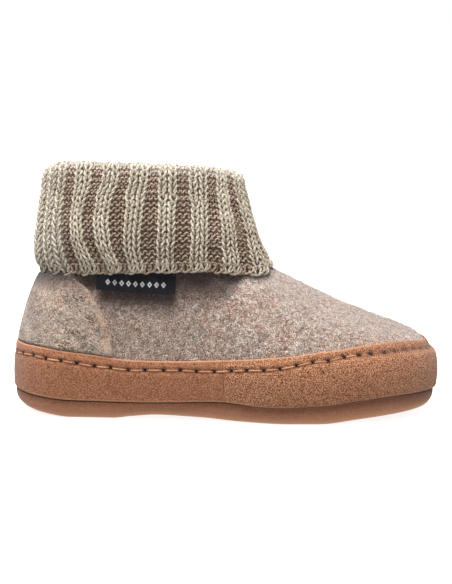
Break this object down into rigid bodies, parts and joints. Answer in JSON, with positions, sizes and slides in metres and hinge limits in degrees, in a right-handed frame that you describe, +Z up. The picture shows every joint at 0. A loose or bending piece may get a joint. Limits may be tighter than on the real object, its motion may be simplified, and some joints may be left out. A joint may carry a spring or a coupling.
{
  "type": "wool slipper",
  "caption": "Child's ankle-high felted wool slipper with a folded rib-knit cuff, suede rand and rounded foam sole, standing empty on a floor.",
  "frame": {"origin": "on the floor, below the middle of the heel's flat spot, at the mount floor_heel", "axes": "+X to the toe, +Y to the inner side of the foot, +Z up"},
  "size_m": [0.1833, 0.0754, 0.106],
  "materials": {
    "outsole": "matt tan foam rubber with a fine napped skin",
    "suede": "tan suede with a short nap",
    "felt": "thick mottled wool felt with loose fibres",
    "counter_felt": "smoother pressed wool felt",
    "insole": "pale wool felt",
    "knit": "coarse rib knit in cream and brown wool yarn",
    "label": "black woven ribbon"
  },
  "bodies": {
    "root": {"outsole": "outsole", "insole": "insole", "upper": "felt", "heel_counter": "counter_felt", "rand_heel": "suede", "rand_toe": "suede", "cuff": "knit", "label": "label"}
  },
  "joints": []
}
